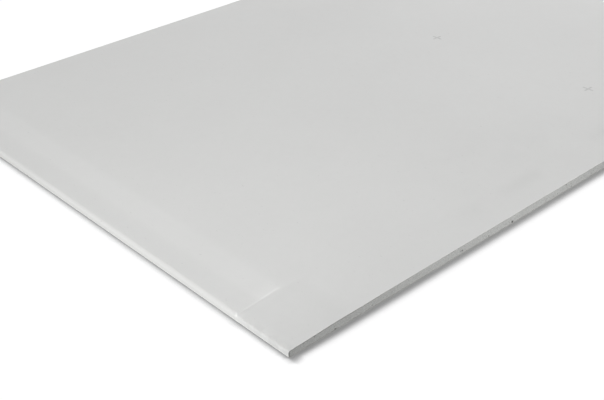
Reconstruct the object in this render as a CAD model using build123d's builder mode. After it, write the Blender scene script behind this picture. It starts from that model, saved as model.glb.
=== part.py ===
"""Drywall sheet: a gypsum core between a face paper, folded round two opposite edges, and a back paper.

The sheet lies flat with its back on the floor. X runs from one paper-wrapped edge to the other, Y from
one cut end to the other, and Z up through the thickness. The origin is the middle of the back.
All sizes are in millimetres.
"""

import os

from build123d import *

# Overall sheet
sheet_length = 1250.0
sheet_width = 900.0
sheet_thickness = 12.5

# Papers
face_paper_thickness = 0.4
back_paper_thickness = 0.4
face_paper_return = 30.0
back_paper_setback = 12.0

# Taper along each wrapped edge, which takes the joint tape and filler: a ramp down to an outer land
taper_width = 75.0
land_width = 35.0
ramp_drop = 1.5
land_drop = 0.5
taper_blend_radius = 450.0

# Folds of the face paper round a wrapped edge
shoulder_radius = 6.0
heel_radius = 1.0

# Section across the wrapped edges, drawn at one cut end
cut_end = Plane.XZ.offset(-sheet_width / 2)
edge = sheet_length / 2
land_height = sheet_thickness - ramp_drop
right_corners = [
    (edge - taper_width, sheet_thickness),
    (edge - land_width, land_height),
    (edge, land_height - land_drop),
    (edge, back_paper_thickness),
]
right_radii = [taper_blend_radius, taper_blend_radius, shoulder_radius, heel_radius]
left_corners = [(-x, z) for x, z in reversed(right_corners)]
left_radii = right_radii[::-1]

# Outline of the folded face paper, above the back paper
with BuildSketch(cut_end) as wrapped_outline:
    with BuildLine():
        FilletPolyline(*right_corners, *left_corners, radius=right_radii + left_radii, close=True)
    make_face()

# Outline of the core: it fills the fold, and meets the back paper between the two returns
with BuildSketch(cut_end) as core_outline:
    add(wrapped_outline.sketch)
    offset(amount=-face_paper_thickness, kind=Kind.INTERSECTION, mode=Mode.REPLACE)
    with Locations((0, back_paper_thickness)):
        Rectangle(
            sheet_length - 2 * face_paper_return,
            face_paper_thickness,
            align=(Align.CENTER, Align.MIN),
        )

# Outline of the face paper itself: over the face, down both wrapped edges and in under the core
with BuildSketch(cut_end) as paper_outline:
    add(wrapped_outline.sketch)
    add(core_outline.sketch, mode=Mode.SUBTRACT)

with BuildPart() as gypsum_core:
    extrude(core_outline.sketch, amount=sheet_width)

with BuildPart() as face_paper:
    extrude(paper_outline.sketch, amount=sheet_width)

# Back paper: a flat sheet that laps over the two returns of the face paper
with BuildPart() as back_paper:
    Box(
        sheet_length - 2 * back_paper_setback,
        sheet_width,
        back_paper_thickness,
        align=(Align.CENTER, Align.CENTER, Align.MIN),
    )

os.makedirs("parts", exist_ok=True)

gypsum_core.part.label = "gypsum_core"
face_paper.part.label = "face_paper"
back_paper.part.label = "back_paper"

export_step(gypsum_core.part, "parts/gypsum_core.step")
export_step(face_paper.part, "parts/face_paper.step")
export_step(back_paper.part, "parts/back_paper.step")
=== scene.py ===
import math

import bpy
import numpy as np
from mathutils import Matrix, Vector


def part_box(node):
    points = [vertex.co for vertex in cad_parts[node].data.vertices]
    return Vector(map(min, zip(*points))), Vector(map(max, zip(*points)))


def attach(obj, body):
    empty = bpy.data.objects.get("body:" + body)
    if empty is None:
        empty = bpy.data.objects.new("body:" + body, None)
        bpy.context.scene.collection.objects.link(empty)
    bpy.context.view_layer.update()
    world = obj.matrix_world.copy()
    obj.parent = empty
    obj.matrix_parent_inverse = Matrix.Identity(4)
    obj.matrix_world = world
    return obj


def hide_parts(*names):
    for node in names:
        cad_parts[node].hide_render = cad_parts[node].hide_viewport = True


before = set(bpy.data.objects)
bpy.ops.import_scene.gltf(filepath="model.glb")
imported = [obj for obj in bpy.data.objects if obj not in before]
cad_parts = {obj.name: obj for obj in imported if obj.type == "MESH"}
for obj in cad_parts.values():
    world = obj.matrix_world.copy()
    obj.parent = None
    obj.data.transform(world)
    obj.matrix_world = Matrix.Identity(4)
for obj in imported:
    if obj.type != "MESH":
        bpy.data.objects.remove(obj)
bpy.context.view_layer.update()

# Main sizes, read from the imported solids, in metres
paper_low, paper_high = (np.array(corner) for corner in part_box("face_paper"))
core_high = np.array(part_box("gypsum_core")[1])
back_low, back_high = (np.array(corner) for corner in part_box("back_paper"))
edge = paper_high[0]
end = paper_high[1]
top = paper_high[2]
bottom = paper_low[2]
paper_thickness = top - core_high[2]

# Section across a wrapped edge, with s measured inwards from that edge
taper_width = 0.075
land_width = 0.035
ramp_drop = 0.0015
land_drop = 0.0005
land_blend = 0.0052
crown_blend = 0.0084
shoulder_radius = 0.006
heel_radius = 0.001
face_return = 0.030
taper_end = taper_width + 0.015

# Damage at the near corner, with u measured inwards from the near cut end, and the crease's ends as s and u
crushed_shoulder_radius = 0.0015
crushed_end = (0.094, 0.100)
crease_start = (0.0066, 0.096)
crease_end = (0.0735, 0.0995)
crease_fade = 0.120
crease_height = 0.00016
corner_sag = 0.00065
crown_sag = 0.00022
shoulder_dents = 0.0004

# Pressed band beside the near cut end
groove_u = 0.048
groove_rise = 0.010
groove_width = 0.015
groove_depth = 0.00012

# Rows and columns of the table of random numbers behind each pattern
noise_table = (1531, 127)

# Slow waves of the whole face: height, size and seed of each
face_waves = ((0.00008, 0.11, 5), (0.00005, 0.045, 6))

# Printed marks on the face: centres, where an arm and its line end and start to fade, and strength
mark_places = ((0.202, 0.039), (0.219, -0.2875))
mark_arm = (0.0115, 0.0090)
mark_line = (0.0022, 0.0008)
mark_strength = -0.26

# Large air pores in the near cut end: distance from the near wrapped edge, height and radius
large_pores = (
    (0.0773, 0.0009, 0.0009),
    (0.3165, 0.0041, 0.0010),
    (0.4254, 0.0021, 0.0013),
    (0.0419, 0.0083, 0.0006),
    (0.1420, 0.0033, 0.0006),
    (0.3673, 0.0040, 0.0006),
    (0.5664, 0.0018, 0.0006),
)

# Small air pores in each cut end: how many, their radii and heights, and how far they keep from the edges
pore_count = 130
pore_radius = 0.0003
pore_spread = 0.0006
pore_heights = (0.0018, 0.0108)
pore_edge_gap = 0.005

# Roughness of the cut ends: a plain setback, then heights and sizes of coarse and fine bumps
cut_setback = 0.00012
coarse_bumps = (0.00022, 0.005)
fine_bumps = (0.00020, 0.0013)

# Raggedness of the face paper's cut edges, and wander of the back paper's long edges
paper_ragged = 0.00018
back_wander = 0.0006

# Broad patches of the face, paler or darker than the rest: partly the paper's own tone, partly painted light
# and shade where the lamps fall unevenly. Each gives s, u, a radius along each, and per cent
broad_tone_and_light_patches = (
    (0.07, 0.11, 0.11, 0.08, 4.0),
    (0.65, -0.01, 0.42, 0.075, -3.5),
    (0.78, 0.26, 0.17, 0.13, 2.5),
    (0.05, 0.62, 0.25, 0.22, -3.0),
    (1.12, 0.52, 0.20, 0.22, -2.4),
    (0.27, 0.24, 0.17, 0.14, 1.8),
    (0.79, 0.73, 0.17, 0.11, -3.0),
)

# Paler and darker places of the face, in per cent: at the crease and in the crushed stretch
crease_tone = 4.5
crease_end_tone = 5.0
crease_side_tone = 1.6
crushed_tone = -3.0
scuff_tone = -2.5
corner_scuff_tone = -2.5
mottle_tone = -5.0
patch_tone = 3.0
flake_tone = 5.0
streak_tone = 1.0

# The same along the taper, in the pressed band, at the face's cut edge and at the foot of the side: painted
# light on the taper's ramp, painted shade on its land and in the pressed band, and painted light at the foot
ramp_light_tone = 2.3
land_shade_tone = -1.5
groove_shade_tone = -3.6
blotch_tone = -2.4
edge_fleck_tone = 6.0
foot_light_tone = 19.0

# Where the wider ones lie, as s or u: each fades in over its first two values and out over its last two
crease_side_s = (0.020, 0.045, 0.072, 0.082)
crushed_s = (0.006, 0.020, 0.090, 0.130)
streak_u = (0.03, 0.05, 0.075, 0.095)
ramp_s = (0.032, 0.046, 0.070, 0.086)
blotch_s = (0.35, 0.50, 0.60, 0.80)
blotch_u = (0.05, 0.10, 0.12, 0.26)

# Paler and darker places of the cut ends, in per cent: a stretch, the far half, the corner and the rim. The
# first three are partly the core's own tone and partly painted light and shade; the rim is a painted shadow
# line under the face paper's lip, with a darker strip down the near corner's end
cut_pale_tone = 2.5
cut_far_tone = -9.0
cut_corner_tone = -3.0
cut_rim_shade_tone = -30.0

# Painted shade on the face paper's cut edge beside the near corner: where it fades out, as s; and the lower
# fold's value, below 0, which makes its edge paler
edge_shade_fade = (0.045, 0.110)
lower_fold_paling = -2.0

# Colours
face_paper_colour = (0.652, 0.654, 0.640)
face_paper_edge_colour = (0.22, 0.215, 0.20)
gypsum_colour = (0.652, 0.656, 0.640)
back_paper_colour = (0.45, 0.43, 0.40)
back_paper_edge_colour = (0.66, 0.66, 0.645)

# Mesh of the face paper: stops with the step up to each, from the near cut end and across the crown
face_rows = ((0.0, 0), (0.090, 0.0025), (0.106, 0.0008), (0.130, 0.002), (0.172, 0.006), (2 * end, 0.009))
crown_stops = ((-edge + taper_end, 0), (-edge + 0.35, 0.006), (edge - taper_end, 0.0075))
fold_end = 0.007
taper_step = 0.0027

# Mesh of the core, which steps down to the back paper where the return ends: stops, steps and levels
return_blend = 0.0002
core_edge_stops = ((paper_thickness, 0), (0.008, 0.0007), (face_return - return_blend, 0.0011))
core_middle_step = 0.00076
core_rows = ((0.0, 0), (0.090, 0.03), (0.105, 0.005), (0.160, 0.025), (2 * end, 0.15))
core_levels = 16

# Photograph's camera, in pixels of its 604 x 400 frame, degrees and metres
photo_width = 604
focal_pixels = 1079.7
camera_heading = 42.66
camera_pitch = 31.52
camera_roll = 0.56
camera_place = (-1.2808, -1.1874, 0.8234)

# Light: where the lamps point, their cool tint, the dome and its low glow, and the floor's bounce
light_target = (-0.2, -0.2, 0.0)
cool_white = (0.988, 0.988, 1.0)
dome_strength = 0.2
glow_strength = 5.9
glow_elevation = math.radians(15.0)
glow_narrowness = 8.0
floor_bounce = 0.46

# Floor: half its side, how far down it lies, and how far away it feels the board
floor_half = 12.0
floor_depth = 0.0001
contact_reach = 0.045

# The floor's reflectance and its own glow, against how open the space over it is: where the space is closed
# in, they paint shade onto the lamps' real contact shadow
contact_shade = (
    (0.40, 0.12),
    (0.57, 0.25),
    (0.64, 0.48),
    (0.71, 0.61),
    (0.77, 0.60),
    (0.82, 0.51),
    (0.86, 0.38),
    (0.90, 0.20),
    (1.0, 0.02),
)
open_glow = (
    (0.40, 0.27),
    (0.57, 0.205),
    (0.64, 0.10),
    (0.71, 0.075),
    (0.77, 0.16),
    (0.82, 0.355),
    (0.86, 0.60),
    (0.90, 0.82),
    (0.96, 1.0),
)

# Painted shade under the near corner: place, reach and how much less open it counts as
corner_shade_place = (-0.6262, -0.4582, 0.0)
corner_shade_reach = 0.017
corner_shade_amount = 0.17

# Beside the crushed stretch, where the side stands higher, the floor counts as more open, a painted light
# against its shade: amount, reach, end
crushed_side_amount = 0.05
crushed_side_reach = 0.0015
crushed_side_end = (0.095, 0.080)


# Number helpers


def smooth(low, high, value):
    """Runs smoothly from 0 at low to 1 at high, and stays there."""
    share = np.clip((value - low) / (high - low), 0.0, 1.0)
    return share * share * (3.0 - 2.0 * share)


def value_noise(x, y, cell, seed):
    """Smooth random heights from 0 to 1, on a lattice of the given cell."""
    table = np.random.default_rng(seed).random(noise_table)
    column, row = np.floor(x / cell).astype(int), np.floor(y / cell).astype(int)
    fx, fy = x / cell - column, y / cell - row
    fx, fy = fx * fx * (3.0 - 2.0 * fx), fy * fy * (3.0 - 2.0 * fy)

    def value(i, j):
        return table[i % noise_table[0], j % noise_table[1]]

    near = value(column, row) * (1.0 - fx) + value(column + 1, row) * fx
    far = value(column, row + 1) * (1.0 - fx) + value(column + 1, row + 1) * fx
    return near * (1.0 - fy) + far * fy


def band(value, low, low_full, high_full, high):
    """1 between the two middle values, fading smoothly to 0 at the outer two."""
    return smooth(low, low_full, value) * (1.0 - smooth(high_full, high, value))


def hump(value, centre, width):
    """A rounded hump: 1 at its centre, and nearly 0 at twice its width from there."""
    return np.exp(-(((value - centre) / width) ** 2))


def steps(*stops):
    """Places along a line: each stop is a place and the step that leads up to it from the stop before."""
    places = [stops[0][0]]
    for (start, _), (stop, step) in zip(stops, stops[1:]):
        count = max(1, round(abs(stop - start) / step))
        places += list(start + (stop - start) * np.arange(1, count + 1) / count)
    return np.array(places)


# Shape of the face


def rounded_turn(s, corner, turn, half):
    """How far a line that turns at a corner leaves its first slope. The corner is blended over 2 * half."""
    past = np.clip(s - (corner - half), 0.0, None)
    return np.where(past < 2.0 * half, turn * past**2 / (4.0 * half), turn * (past - half))


def face_height(s):
    """Height of the face at s from a wrapped edge, before any sag and without the shoulder."""
    land_slope = land_drop / land_width
    ramp_slope = ramp_drop / (taper_width - land_width)
    rise = land_slope * s
    rise = rise + rounded_turn(s, land_width, ramp_slope - land_slope, land_blend)
    rise = rise + rounded_turn(s, taper_width, -ramp_slope, crown_blend)
    return top - ramp_drop - land_drop + rise


def crush(u):
    """1 in the crushed stretch, along the near wrapped edge beside the near cut end, and 0 past it."""
    return 1.0 - smooth(*crushed_end, u)


def crease_profile(s, u):
    """The crease's crest: 1 on its line, 0 beside it, and fading past its far end."""
    slope = (crease_end[1] - crease_start[1]) / (crease_end[0] - crease_start[0])
    line = crease_start[1] + slope * (s - crease_start[0])
    past_end = 1.0 - 0.93 * smooth(0.073, 0.078, s)
    strength = smooth(0.0, 0.012, s) * past_end * (1.0 - smooth(0.085, crease_fade, s))
    width = 0.0013 + 0.0006 * smooth(0.035, 0.060, s)
    return strength * hump(u, line, width)


def groove_profile(s, u):
    """A shallow, broken pressed band that runs beside the near cut end and slowly away from it."""
    line = groove_u + groove_rise * (s - 0.45)
    broken = np.clip(1.9 * value_noise(s + 0.013, u + 0.004, 0.045, 23) - 0.25, 0.15, 1.1)
    return broken * smooth(0.22, 0.46, s) * hump(u, line, groove_width)


def sag(x, y):
    """How far the face lies below its plain section: handling damage and slow waves of the board."""
    s, u = x + edge, y + end
    waves = sum(height * value_noise(x + 3.0, y + 3.0, cell, seed) for height, cell, seed in face_waves)
    waves = waves * smooth(0.0, 0.03, s) * smooth(0.0, 0.03, edge - x)
    corner = corner_sag * (1.0 - smooth(0.095, 0.165, s))
    corner = corner + crown_sag * smooth(0.095, 0.125, s) * (1.0 - smooth(0.14, 0.35, s))
    corner = corner * (1.0 - smooth(0.085, 0.150, u))
    ridge = crease_height * crease_profile(s, u)
    groove = groove_depth * groove_profile(s, u)
    beaten = crush(u) * (1.0 - smooth(0.004, 0.014, s))
    dents = shoulder_dents * beaten * value_noise(x + 3.0, y + 3.0, 0.008, 7)
    return np.clip(waves + corner - ridge + groove + dents, 0.0, None)


def face_tone(s, u, height):
    """How much paler or darker the paper is than its colour, in per cent, with the height over the back.
    Besides the paper's own tone, this holds painted light and shade on the taper, in the pressed band, at
    the foot of the side and in broad patches.
    """
    crushed = crush(u)
    crease = (crease_tone + crease_end_tone * smooth(0.03, 0.06, s)) * crease_profile(s, u)
    crease_side = band(s, *crease_side_s) * hump(u, 0.106, 0.007)
    crushed_area = band(s, *crushed_s) * (1.0 - smooth(0.092, 0.099, u))
    scuff = crushed * (1.0 - smooth(0.005, 0.014, s)) * (1.0 - 0.6 * smooth(0.035, 0.090, u))
    corner_scuff = (1.0 - smooth(0.030, 0.050, u)) * (1.0 - smooth(0.006, 0.016, s))
    mottle = crushed * (1.0 - smooth(0.008, 0.014, s)) * (value_noise(s, u, 0.006, 24) - 0.5)
    reach = 0.003 + 0.008 * value_noise(u, s * 0.0, 0.009, 26)
    patches = crushed * (1.0 - smooth(reach - 0.0015, reach, s))
    patches = patches * smooth(0.35, 0.65, value_noise(u, s * 0.0, 0.005, 27))
    flakes = crushed * (1.0 - smooth(0.003, 0.006, s))
    flakes = flakes * smooth(0.55, 0.80, value_noise(s, u, 0.0025, 22))
    streak = hump(s, 0.112, 0.008) * band(u, *streak_u)
    # Painted light on the taper's ramp, which faces the lamps, and painted shade on its land
    ramp = band(s, *ramp_s) * smooth(0.094, 0.102, u)
    ramp = ramp * (1.0 + 0.7 * hump(u, 0.10, 0.02))
    land_shade = (1.0 - smooth(0.010, 0.042, s)) * smooth(0.12, 0.16, u)
    blotches = band(s, *blotch_s) * band(u, *blotch_u) * value_noise(s, u, 0.028, 21)
    edge_flecks = (u < 0.001) * smooth(0.25, 0.40, s)
    edge_flecks = edge_flecks * smooth(0.55, 0.80, value_noise(s, u + 0.5, 0.005, 25))
    # Painted light at the foot of the side, where the white floor's bounce falls
    foot_light = (s < 0.0013) * (1.0 - smooth(0.0004, 0.0026, height))
    tone = crease + crease_side_tone * crease_side + crushed_tone * crushed_area
    tone = tone + scuff_tone * scuff + corner_scuff_tone * corner_scuff + mottle_tone * mottle
    tone = tone + patch_tone * patches + flake_tone * flakes + streak_tone * streak
    # The pressed band gets painted shade where its slope turns away from the lamps
    tone = tone + ramp_light_tone * ramp + land_shade_tone * land_shade + groove_shade_tone * groove_profile(s, u)
    tone = tone + blotch_tone * blotches + edge_fleck_tone * edge_flecks + foot_light_tone * foot_light
    for patch_s, patch_u, s_radius, u_radius, amount in broad_tone_and_light_patches:
        tone = tone + amount * hump(s, patch_s, s_radius) * hump(u, patch_u, u_radius)
    return tone


def settle(x, y, z):
    """Lowers a point of the board with the face above it. The back stays where it is."""
    s = edge - np.abs(x)
    return bottom + (z - bottom) * (1.0 - sag(x, y) / (face_height(s) - bottom))


def half_section(inset, radius):
    """One wrapped edge's outline from the end of its return to the inside of the taper, as s and z."""
    heel = np.radians(np.linspace(0.0, 90.0, 7))[1:]
    shoulder = np.radians(np.linspace(0.0, 90.0, 11))[1:]
    return_s = np.linspace(face_return, heel_radius, 6)
    side_low = bottom + heel_radius
    side_high = face_height(0.0) - radius
    side_z = np.linspace(side_low, side_high, 5)[1:]
    even_s = steps((fold_end, 0), (taper_end, taper_step))
    face_s = radius + (even_s[1:] - fold_end) * (taper_end - radius) / (taper_end - fold_end)
    s = np.concatenate([
        return_s,
        heel_radius - (heel_radius - inset) * np.sin(heel),
        np.full(side_z.shape, inset),
        radius - (radius - inset) * np.cos(shoulder),
        face_s,
    ])
    arc_s = radius - radius * np.cos(shoulder)
    z = np.concatenate([
        np.full(return_s.shape, bottom + inset),
        bottom + heel_radius - (heel_radius - inset) * np.cos(heel),
        side_z,
        face_height(arc_s) - radius + (radius - inset) * np.sin(shoulder),
        face_height(face_s) - inset,
    ])
    return s, z


# Mesh helpers


def new_piece(name, vertices, quads, materials):
    """A mesh piece of the board, riding on its one body."""
    mesh = bpy.data.meshes.new(name)
    mesh.from_pydata(vertices.tolist(), [], quads.tolist())
    mesh.validate()
    mesh.shade_smooth()
    mesh.set_sharp_from_angle(angle=math.radians(40.0))
    for material in materials:
        mesh.materials.append(material)
    piece = bpy.data.objects.new(name, mesh)
    bpy.context.collection.objects.link(piece)
    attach(piece, "root")
    return piece


def grid_quads(index, flip=False):
    """Quads over a grid of vertex numbers."""
    a, b, c, d = index[:-1, :-1], index[:-1, 1:], index[1:, 1:], index[1:, :-1]
    corners = (d, c, b, a) if flip else (a, b, c, d)
    return np.stack(corners, axis=-1).reshape(-1, 4)


def add_attribute(piece, name, values):
    """A number at each vertex, for the piece's material."""
    attribute = piece.data.attributes.new(name, "FLOAT", "POINT")
    attribute.data.foreach_set("value", np.asarray(values, dtype=np.float32).ravel())


# Material helpers


class Nodes:
    """Builds a material's node tree: each method adds one node and returns its output."""

    def __init__(self, name):
        self.material = bpy.data.materials.new(name)
        self.material.use_nodes = True
        self.tree = self.material.node_tree
        self.tree.nodes.clear()
        self.output = self.tree.nodes.new("ShaderNodeOutputMaterial")

    def node(self, kind, inputs=None, **settings):
        made = self.tree.nodes.new(kind)
        for key, value in settings.items():
            setattr(made, key, value)
        for key, value in (inputs or {}).items():
            if isinstance(value, bpy.types.NodeSocket):
                self.tree.links.new(value, made.inputs[key])
            else:
                made.inputs[key].default_value = value
        return made

    def math(self, operation, first, second=0.0, clamp=False):
        inputs = {0: first, 1: second}
        return self.node("ShaderNodeMath", inputs, operation=operation, use_clamp=clamp).outputs[0]

    def place(self, stretch=(1.0, 1.0, 1.0)):
        """Places on the board, stretched to draw out a pattern."""
        where = self.node("ShaderNodeTexCoord").outputs["Object"]
        return self.node("ShaderNodeMapping", {"Vector": where, "Scale": stretch}).outputs["Vector"]

    def noise(self, vector, scale, detail=2.0, roughness=0.5):
        inputs = {"Vector": vector, "Scale": scale, "Detail": detail, "Roughness": roughness}
        return self.node("ShaderNodeTexNoise", inputs).outputs["Fac"]

    def spread(self, value, low, high, to_low=0.0, to_high=1.0):
        inputs = {"Value": value, "From Min": low, "From Max": high, "To Min": to_low, "To Max": to_high}
        return self.node("ShaderNodeMapRange", inputs).outputs["Result"]

    def attribute(self, name):
        return self.node("ShaderNodeAttribute", attribute_name=name).outputs["Fac"]

    def total(self, *values):
        result = values[0]
        for value in values[1:]:
            result = self.math("ADD", result, value)
        return result

    def shade(self, colour, amount):
        """The colour times a number that varies over the surface."""
        inputs = {0: colour, "Scale": amount}
        return self.node("ShaderNodeVectorMath", inputs, operation="SCALE").outputs["Vector"]

    def ramp(self, value, stops):
        """A grey that follows the stops, each one a value and the grey's level there."""
        ramp = self.tree.nodes.new("ShaderNodeValToRGB")
        while len(ramp.color_ramp.elements) < len(stops):
            ramp.color_ramp.elements.new(1.0)
        for element, (position, level) in zip(ramp.color_ramp.elements, stops):
            element.position = position
            element.color = (level, level, level, 1.0)
        self.tree.links.new(value, ramp.inputs[0])
        return ramp.outputs[0]

    def bump(self, height, distance, strength=1.0, normal=None):
        inputs = {"Height": height, "Distance": distance, "Strength": strength}
        if normal is not None:
            inputs["Normal"] = normal
        return self.node("ShaderNodeBump", inputs).outputs["Normal"]

    def surface(self, colour, roughness, normal, specular):
        inputs = {"Base Color": colour, "Roughness": roughness, "Normal": normal}
        shader = self.node("ShaderNodeBsdfPrincipled", inputs)
        shader.inputs["Specular IOR Level"].default_value = specular
        self.tree.links.new(shader.outputs["BSDF"], self.output.inputs["Surface"])
        return self.material


def cross_mark(nodes, centre):
    """A small plain cross printed on the face: 1 on its arms, 0 off them."""
    where = nodes.node("ShaderNodeSeparateXYZ", {0: nodes.place()})
    along = nodes.math("ABSOLUTE", nodes.math("SUBTRACT", where.outputs["X"], centre[0]))
    across = nodes.math("ABSOLUTE", nodes.math("SUBTRACT", where.outputs["Y"], centre[1]))

    def arm(length_way, width_way):
        inside = nodes.spread(length_way, *mark_arm)
        thin = nodes.spread(width_way, *mark_line)
        return nodes.math("MULTIPLY", inside, thin)

    return nodes.math("MAXIMUM", arm(along, across), arm(across, along))


def face_paper_material():
    """Pale grey board paper: faintly cloudy, with fibres along the wrapped edges and a few dark flecks."""
    nodes = Nodes("Face paper")
    plain = nodes.place()
    drawn = nodes.place((1.0, 0.35, 1.0))
    clouds = nodes.spread(nodes.noise(plain, 9.0, 3.0), 0.3, 0.7, -0.007, 0.007)
    mottle = nodes.spread(nodes.noise(plain, 70.0, 3.0), 0.3, 0.7, -0.005, 0.005)
    fibres = nodes.spread(nodes.noise(drawn, 1100.0, 4.0, 0.65), 0.3, 0.7, -0.008, 0.008)
    flecks = nodes.spread(nodes.noise(drawn, 420.0, 2.0), 0.70, 0.76, 0.0, -0.10)
    marks = None
    for centre in mark_places:
        mark = cross_mark(nodes, centre)
        marks = mark if marks is None else nodes.math("MAXIMUM", marks, mark)
    worn_ink = nodes.spread(nodes.noise(plain, 380.0, 2.0), 0.30, 0.60, 0.45, 1.0)
    ink = nodes.math("MULTIPLY", nodes.math("MULTIPLY", marks, worn_ink), mark_strength)
    # The tone attribute holds the paper's own tone together with painted light and shade
    tone = nodes.math("MULTIPLY", nodes.attribute("tone"), 0.01)
    amount = nodes.total(clouds, mottle, fibres, flecks, tone, ink, 1.0)
    colour = nodes.shade(face_paper_colour, amount)
    roughness = nodes.spread(nodes.noise(plain, 260.0, 2.0), 0.3, 0.7, 0.84, 0.94)
    felt = nodes.bump(nodes.noise(drawn, 700.0, 4.0, 0.6), 0.00012, 0.5)
    normal = nodes.bump(nodes.noise(plain, 160.0, 2.0), 0.00012, 0.25, felt)
    return nodes.surface(colour, roughness, normal, 0.2)


def cut_paper_material(name, colour):
    """The cut edge of a board paper: grey plies with loose fibres."""
    nodes = Nodes(name)
    plies = nodes.place((0.3, 0.3, 6.0))
    amount = nodes.spread(nodes.noise(plies, 500.0, 3.0, 0.7), 0.3, 0.7, 0.8, 1.15)
    # The attribute darkens the cut edge with painted shade near the near corner, and makes the lower fold's
    # edge paler
    edge_shade_factor = nodes.math("SUBTRACT", 1.0, nodes.math("MULTIPLY", nodes.attribute("edge_shade"), 0.8))
    normal = nodes.bump(nodes.noise(nodes.place(), 1500.0, 3.0), 0.0002, 0.6)
    return nodes.surface(nodes.shade(colour, nodes.math("MULTIPLY", amount, edge_shade_factor)), 0.95, normal, 0.1)


def gypsum_material():
    """Foamed gypsum, sawn: fine grain, cloudy patches, and painted shade in its air pores."""
    nodes = Nodes("Gypsum core")
    plain = nodes.place()
    clouds = nodes.spread(nodes.noise(plain, 45.0, 3.0), 0.3, 0.7, -0.02, 0.02)
    grain = nodes.spread(nodes.noise(plain, 640.0, 4.0, 0.7), 0.3, 0.7, -0.23, 0.21)
    specks = nodes.spread(nodes.noise(plain, 520.0, 2.0), 0.63, 0.71, 0.0, -0.30)
    # Painted shade in the air pores
    pore_shade = nodes.math("MULTIPLY", nodes.attribute("pore"), -0.95)
    # The tone attribute holds the core's own tone with painted light and shade and a painted shadow line
    tone = nodes.math("MULTIPLY", nodes.attribute("tone"), 0.01)
    amount = nodes.total(clouds, grain, specks, pore_shade, tone, 1.0)
    colour = nodes.shade(gypsum_colour, amount)
    coarse = nodes.bump(nodes.noise(plain, 420.0, 3.0, 0.6), 0.0005, 0.5)
    normal = nodes.bump(nodes.noise(plain, 1700.0, 3.0), 0.0002, 0.5, coarse)
    return nodes.surface(colour, 0.96, normal, 0.1)


def back_paper_material():
    """Grey recycled board paper: coarser fibres and flecks than the face."""
    nodes = Nodes("Back paper")
    plain = nodes.place()
    drawn = nodes.place((1.0, 0.3, 1.0))
    clouds = nodes.spread(nodes.noise(plain, 14.0, 3.0), 0.3, 0.7, -0.03, 0.03)
    fibres = nodes.spread(nodes.noise(drawn, 900.0, 4.0, 0.65), 0.3, 0.7, -0.05, 0.05)
    flecks = nodes.spread(nodes.noise(drawn, 360.0, 2.0), 0.64, 0.72, 0.0, -0.22)
    amount = nodes.total(clouds, fibres, flecks, 1.0)
    colour = nodes.shade(back_paper_colour, amount)
    roughness = nodes.spread(nodes.noise(plain, 240.0, 2.0), 0.3, 0.7, 0.86, 0.96)
    normal = nodes.bump(nodes.noise(drawn, 650.0, 4.0, 0.6), 0.0002, 0.5)
    return nodes.surface(colour, roughness, normal, 0.2)


# The three pieces


def make_face_paper():
    """One sheet over the face, down both wrapped edges and in under the core, as a thin closed shell."""
    rows = steps(*face_rows) - end
    crown = steps(*crown_stops)[1:-1]
    layers = []
    for inset in (0.0, paper_thickness):
        sheet = []
        for y in rows:
            u = y + end
            wander = value_noise(np.array(u + 5.0), np.array(0.0), 0.006, 11)
            crushed = crushed_shoulder_radius * (0.6 + 1.4 * float(wander))
            radius = shoulder_radius + (crushed - shoulder_radius) * float(crush(u))
            left_s, left_z = half_section(inset, radius)
            right_s, right_z = half_section(inset, shoulder_radius)
            x = np.concatenate([left_s - edge, crown, (edge - right_s)[::-1]])
            z = np.concatenate([left_z, np.full(crown.shape, top - inset), right_z[::-1]])
            sheet.append(np.stack([x, np.full(x.shape, y), z], axis=-1))
        layers.append(np.stack(sheet))
    for layer in layers:
        layer[..., 2] = settle(layer[..., 0], layer[..., 1], layer[..., 2])
        ragged = paper_ragged * value_noise(layer[..., 0] + 7.0, layer[..., 2] + 7.0, 0.0022, 12)
        layer[0, :, 1] += ragged[0]
        layer[-1, :, 1] -= ragged[-1]
    outer, inner = layers
    row_count, column_count = outer.shape[:2]
    outer_index = np.arange(row_count * column_count).reshape(row_count, column_count)
    inner_index = outer_index + row_count * column_count
    faces = [
        grid_quads(outer_index, flip=False),
        grid_quads(inner_index, flip=True),
        grid_quads(np.stack([inner_index[0], outer_index[0]])),
        grid_quads(np.stack([outer_index[-1], inner_index[-1]])),
        grid_quads(np.stack([outer_index[:, 0], inner_index[:, 0]])),
        grid_quads(np.stack([inner_index[:, -1], outer_index[:, -1]])),
    ]
    vertices = np.concatenate([outer.reshape(-1, 3), inner.reshape(-1, 3)])
    materials = [face_paper_material(), cut_paper_material("Face paper edge", face_paper_edge_colour)]
    piece = new_piece("face_paper_sheet", vertices, np.concatenate(faces), materials)
    sheet_faces = len(faces[0]) + len(faces[1])
    slots = np.zeros(len(piece.data.polygons), dtype=np.int32)
    slots[sheet_faces:] = 1
    piece.data.polygons.foreach_set("material_index", slots)
    s, u = vertices[:, 0] + edge, vertices[:, 1] + end
    height = vertices[:, 2] - bottom
    add_attribute(piece, "tone", face_tone(s, u, height))
    # Painted shade on the face paper's cut edge at the near cut end, fading away from the near corner; the
    # lower fold is paler
    edge_shade_mask = (u < 0.01) * (1.0 - smooth(*edge_shade_fade, s))
    add_attribute(piece, "edge_shade", np.where(height > 0.0015, edge_shade_mask, lower_fold_paling))
    return piece


def inside_fold(radius, s):
    """Depth of the fold's inner side at s, measured from the flat that the fold's outer side runs into."""
    inner = radius - paper_thickness
    return radius - np.sqrt(np.clip(inner**2 - np.clip(radius - s, 0.0, None) ** 2, 0.0, None))


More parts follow.
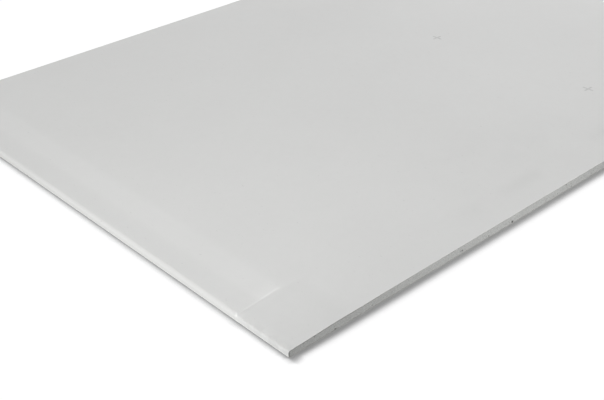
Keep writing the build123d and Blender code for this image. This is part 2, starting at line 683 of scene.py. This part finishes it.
def make_gypsum_core():
    """The core fills the folded paper. Its cut ends are bare, rough and pitted."""
    left = steps(*core_edge_stops) - edge
    inner_edge = edge - face_return - return_blend
    middle = steps((-inner_edge, 0), (inner_edge, core_middle_step))
    columns = np.concatenate([left, middle, -left[::-1]])
    rows = steps(*core_rows) - end
    levels = np.linspace(0.0, 1.0, core_levels)
    x, y = np.meshgrid(columns, rows, indexing="ij")
    s, u = edge - np.abs(x), y + end
    near_left = (x < 0.0) * crush(u)
    radius = shoulder_radius + (crushed_shoulder_radius * 1.25 - shoulder_radius) * near_left
    high = face_height(s) - np.where(s < radius, inside_fold(radius, s), paper_thickness)
    over_return = np.where(s < face_return, paper_thickness, 0.0)
    low = bottom + np.where(s < heel_radius, inside_fold(heel_radius, s), over_return)
    z = low[..., None] + (high - low)[..., None] * levels
    x = np.repeat(x[..., None], len(levels), axis=2)
    y = np.repeat(y[..., None], len(levels), axis=2)
    z = settle(x, y, z)
    pore = np.zeros(x.shape)
    for row, inwards, seed in ((0, 1.0, 31), (-1, -1.0, 41)):
        depth, pits = cut_relief(x[:, row], z[:, row], seed, row == 0)
        y[:, row] += inwards * depth
        pore[:, row] = pits
    shape = x.shape
    index = np.arange(x.size).reshape(shape)
    faces = [
        grid_quads(index[:, :, -1], flip=True),
        grid_quads(index[:, :, 0], flip=False),
        grid_quads(index[:, 0, :], flip=True),
        grid_quads(index[:, -1, :], flip=False),
        grid_quads(index[0], flip=False),
        grid_quads(index[-1], flip=True),
    ]
    vertices = np.stack([x.ravel(), y.ravel(), z.ravel()], axis=-1)
    used, quads = np.unique(np.concatenate(faces), return_inverse=True)
    piece = new_piece("gypsum_board_core", vertices[used], quads.reshape(-1, 4), [gypsum_material()])
    add_attribute(piece, "pore", pore.ravel()[used])
    s, depth = x + edge, (high[..., None] - low[..., None]) * (1.0 - levels)
    # Painted shadow line under the face paper's lip, strongest near the near corner, and a darker strip down
    # the corner's end
    painted_rim_shade = (1.0 - smooth(0.070, 0.220, s)) * hump(depth, 0.0, 0.0011)
    painted_rim_shade = np.maximum(painted_rim_shade, 1.0 - smooth(0.0018, 0.0030, s))
    # Partly the core's own tone, partly painted light and shade where the lamps reach the cut face unevenly
    tone = cut_pale_tone * hump(s, 0.26, 0.10) + cut_far_tone * smooth(0.42, 0.62, s)
    tone = tone + cut_rim_shade_tone * painted_rim_shade + cut_corner_tone * (1.0 - smooth(0.030, 0.050, s))
    add_attribute(piece, "tone", tone.ravel()[used])
    return piece


def cut_relief(x, z, seed, near):
    """Depth of a cut end at each point, inwards, and how far the point lies in an air pore."""
    coarse = coarse_bumps[0] * value_noise(x + 9.0, z + 9.0, coarse_bumps[1], seed)
    fine = fine_bumps[0] * value_noise(x + 9.0, z + 9.0, fine_bumps[1], seed + 1)
    random = np.random.default_rng(seed + 2)
    pits = np.zeros(x.shape)
    across = random.uniform(-edge + pore_edge_gap, edge - pore_edge_gap, pore_count)
    heights = random.uniform(*pore_heights, pore_count)
    places = np.stack([across, heights], axis=-1)
    radii = pore_radius + pore_spread * random.random(pore_count) ** 3
    depths = radii * random.uniform(0.8, 1.6, pore_count)
    if near:
        places = np.concatenate([places, [(pore[0] - edge, pore[1]) for pore in large_pores]])
        radii = np.concatenate([radii, [pore[2] for pore in large_pores]])
        depths = np.concatenate([depths, [1.5 * pore[2] for pore in large_pores]])
    for (pore_x, pore_z), radius, depth in zip(places, radii, depths):
        near_by = np.abs(x[:, 0] - pore_x) < 2.5 * radius
        if near_by.any():
            square = ((x[near_by] - pore_x) ** 2 + (z[near_by] - pore_z) ** 2) / radius**2
            pits[near_by] = np.maximum(pits[near_by], depth * np.exp(-square))
    return cut_setback + coarse + fine + pits, np.clip(pits / 0.0009, 0.0, 1.0)


def make_back_paper():
    """The flat paper on the back, lapped over the returns, with slightly wandering edges."""
    reach = back_high[0]
    across = steps((-reach, 0), (-reach + 0.03, 0.006), (reach - 0.03, 0.02), (reach, 0.006))
    along = steps((-end, 0), (end, 0.01))
    x, y = np.meshgrid(across, along)
    wander = back_wander * value_noise(y + 3.0, np.full(y.shape, 1.0), 0.05, 51)
    x = x - np.sign(x) * wander * smooth(0.03, 0.0, reach - np.abs(x))
    layers = [np.stack([x, y, np.full(x.shape, level)], axis=-1) for level in (back_high[2], back_low[2])]
    row_count, column_count = x.shape
    upper = np.arange(x.size).reshape(row_count, column_count)
    lower = upper + x.size
    faces = [
        grid_quads(upper),
        grid_quads(lower, flip=True),
        grid_quads(np.stack([lower[0], upper[0]])),
        grid_quads(np.stack([upper[-1], lower[-1]])),
        grid_quads(np.stack([upper[:, 0], lower[:, 0]])),
        grid_quads(np.stack([lower[:, -1], upper[:, -1]])),
    ]
    vertices = np.concatenate([layer.reshape(-1, 3) for layer in layers])
    materials = [back_paper_material(), cut_paper_material("Back paper edge", back_paper_edge_colour)]
    piece = new_piece("back_paper_sheet", vertices, np.concatenate(faces), materials)
    slots = np.zeros(len(piece.data.polygons), dtype=np.int32)
    slots[len(faces[0]) + len(faces[1]):] = 1
    piece.data.polygons.foreach_set("material_index", slots)
    return piece


# Floor, light and camera


def seen_directly(nodes):
    """1 for rays from the camera, and for what gloss or glass would show of the backdrop."""
    rays = nodes.node("ShaderNodeLightPath")
    seen = nodes.math("ADD", rays.outputs["Is Camera Ray"], rays.outputs["Is Glossy Ray"])
    return nodes.math("ADD", seen, rays.outputs["Is Transmission Ray"], clamp=True)


def make_floor():
    """White floor that shows the board's soft contact shadow: the lamps' real shadow, deepened by painted
    shade where the space over the floor is closed in.
    """
    nodes = Nodes("White floor")
    felt = nodes.node("ShaderNodeAmbientOcclusion", {"Distance": contact_reach}, samples=16)
    place = nodes.place()
    ends = {0: place, 1: corner_shade_place}
    away = nodes.node("ShaderNodeVectorMath", ends, operation="DISTANCE").outputs["Value"]
    painted_corner_shade = nodes.spread(away, 0.0, corner_shade_reach, corner_shade_amount, 0.0)
    where = nodes.node("ShaderNodeSeparateXYZ", {0: place}).outputs
    beside = nodes.spread(where["X"], -edge, -edge - crushed_side_reach, 0.0, crushed_side_amount)
    along = nodes.spread(where["Y"], crushed_side_end[0] - end, crushed_side_end[1] - end)
    painted_side_light = nodes.math("MULTIPLY", beside, along)
    openness = nodes.math("SUBTRACT", nodes.math("ADD", felt.outputs["AO"], painted_side_light), painted_corner_shade)
    shown = nodes.node("ShaderNodeBsdfDiffuse", {"Color": nodes.ramp(openness, contact_shade)}).outputs[0]
    glow = nodes.node("ShaderNodeEmission", {"Strength": nodes.ramp(openness, open_glow)}).outputs[0]
    bounce = nodes.node("ShaderNodeEmission", {"Strength": floor_bounce}).outputs[0]
    both = nodes.node("ShaderNodeAddShader", {0: shown, 1: glow}).outputs[0]
    mixed = nodes.node("ShaderNodeMixShader", {0: seen_directly(nodes), 1: bounce, 2: both}).outputs[0]
    nodes.tree.links.new(mixed, nodes.output.inputs["Surface"])
    mesh = bpy.data.meshes.new("floor")
    signs = ((-1, -1), (1, -1), (1, 1), (-1, 1))
    corners = [(x * floor_half, y * floor_half, -floor_depth) for x, y in signs]
    mesh.from_pydata(corners, [], [(0, 1, 2, 3)])
    mesh.materials.append(nodes.material)
    floor = bpy.data.objects.new("floor", mesh)
    bpy.context.collection.objects.link(floor)


def light_world():
    """A pale dome with a low glow beyond the far cut end. The camera sees it as plain white."""
    world = bpy.data.worlds.new("studio")
    world.use_nodes = True
    bpy.context.scene.world = world
    tree = world.node_tree
    tree.nodes.clear()
    output = tree.nodes.new("ShaderNodeOutputWorld")
    rays = tree.nodes.new("ShaderNodeLightPath")
    direction = tree.nodes.new("ShaderNodeTexCoord").outputs["Generated"]
    facing = tree.nodes.new("ShaderNodeVectorMath")
    facing.operation = "DOT_PRODUCT"
    facing.inputs[1].default_value = (0.0, math.cos(glow_elevation), math.sin(glow_elevation))
    tree.links.new(direction, facing.inputs[0])
    ahead = tree.nodes.new("ShaderNodeMath")
    ahead.operation = "MAXIMUM"
    ahead.inputs[1].default_value = 0.0
    tree.links.new(facing.outputs["Value"], ahead.inputs[0])
    narrow = tree.nodes.new("ShaderNodeMath")
    narrow.operation = "POWER"
    narrow.inputs[1].default_value = glow_narrowness
    tree.links.new(ahead.outputs[0], narrow.inputs[0])
    level = tree.nodes.new("ShaderNodeMath")
    level.operation = "MULTIPLY_ADD"
    level.inputs[1].default_value = glow_strength
    level.inputs[2].default_value = dome_strength
    tree.links.new(narrow.outputs[0], level.inputs[0])
    dome = tree.nodes.new("ShaderNodeBackground")
    tree.links.new(level.outputs[0], dome.inputs["Strength"])
    white = tree.nodes.new("ShaderNodeBackground")
    white.inputs["Strength"].default_value = 1.0
    dome.inputs["Color"].default_value = (*cool_white, 1.0)
    white.inputs["Color"].default_value = (1.0, 1.0, 1.0, 1.0)
    mix = tree.nodes.new("ShaderNodeMixShader")
    tree.links.new(rays.outputs["Is Camera Ray"], mix.inputs[0])
    tree.links.new(dome.outputs[0], mix.inputs[1])
    tree.links.new(white.outputs[0], mix.inputs[2])
    tree.links.new(mix.outputs[0], output.inputs["Surface"])


def add_area_light(name, place, size, power, colour=(1.0, 1.0, 1.0)):
    """A square soft light that points at the near half of the board."""
    data = bpy.data.lights.new(name, "AREA")
    data.color = colour
    data.shape = "SQUARE"
    data.size = size
    data.energy = power
    lamp = bpy.data.objects.new(name, data)
    lamp.location = place
    lamp.rotation_euler = (Vector(light_target) - Vector(place)).to_track_quat("-Z", "Y").to_euler()
    lamp.visible_camera = False
    bpy.context.collection.objects.link(lamp)


def add_camera():
    """The photograph's camera: it looks down over the near corner."""
    heading, pitch, roll = (math.radians(angle) for angle in (camera_heading, camera_pitch, camera_roll))
    flat = math.cos(pitch)
    forward = Vector((math.sin(heading) * flat, math.cos(heading) * flat, -math.sin(pitch)))
    level = Vector((math.cos(heading), -math.sin(heading), 0.0))
    plumb = forward.cross(level)
    right = level * math.cos(roll) + plumb * math.sin(roll)
    down = plumb * math.cos(roll) - level * math.sin(roll)
    axes = Matrix((right, -down, -forward)).transposed()
    data = bpy.data.cameras.new("camera")
    data.sensor_fit = "HORIZONTAL"
    data.sensor_width = 36.0
    data.lens = focal_pixels * data.sensor_width / photo_width
    data.clip_start = 0.01
    camera = bpy.data.objects.new("camera", data)
    camera.matrix_world = Matrix.Translation(camera_place) @ axes.to_4x4()
    bpy.context.collection.objects.link(camera)
    bpy.context.scene.camera = camera


face_paper = make_face_paper()
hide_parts("face_paper")

gypsum_core = make_gypsum_core()
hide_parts("gypsum_core")

back_paper = make_back_paper()
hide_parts("back_paper")

make_floor()
light_world()
add_area_light("key", (-1.7, -0.15, 0.35), 0.7, 10.2)
add_area_light("overhead", (-0.57, 0.0, 0.7), 0.6, 0.55)
add_area_light("back", (2.2, 1.0, 1.35), 0.8, 39.3, cool_white)
add_area_light("fill", (-0.06, -1.06, 0.2), 0.3, 1.8)
add_camera()

scene = bpy.context.scene
scene.view_settings.view_transform = "Standard"
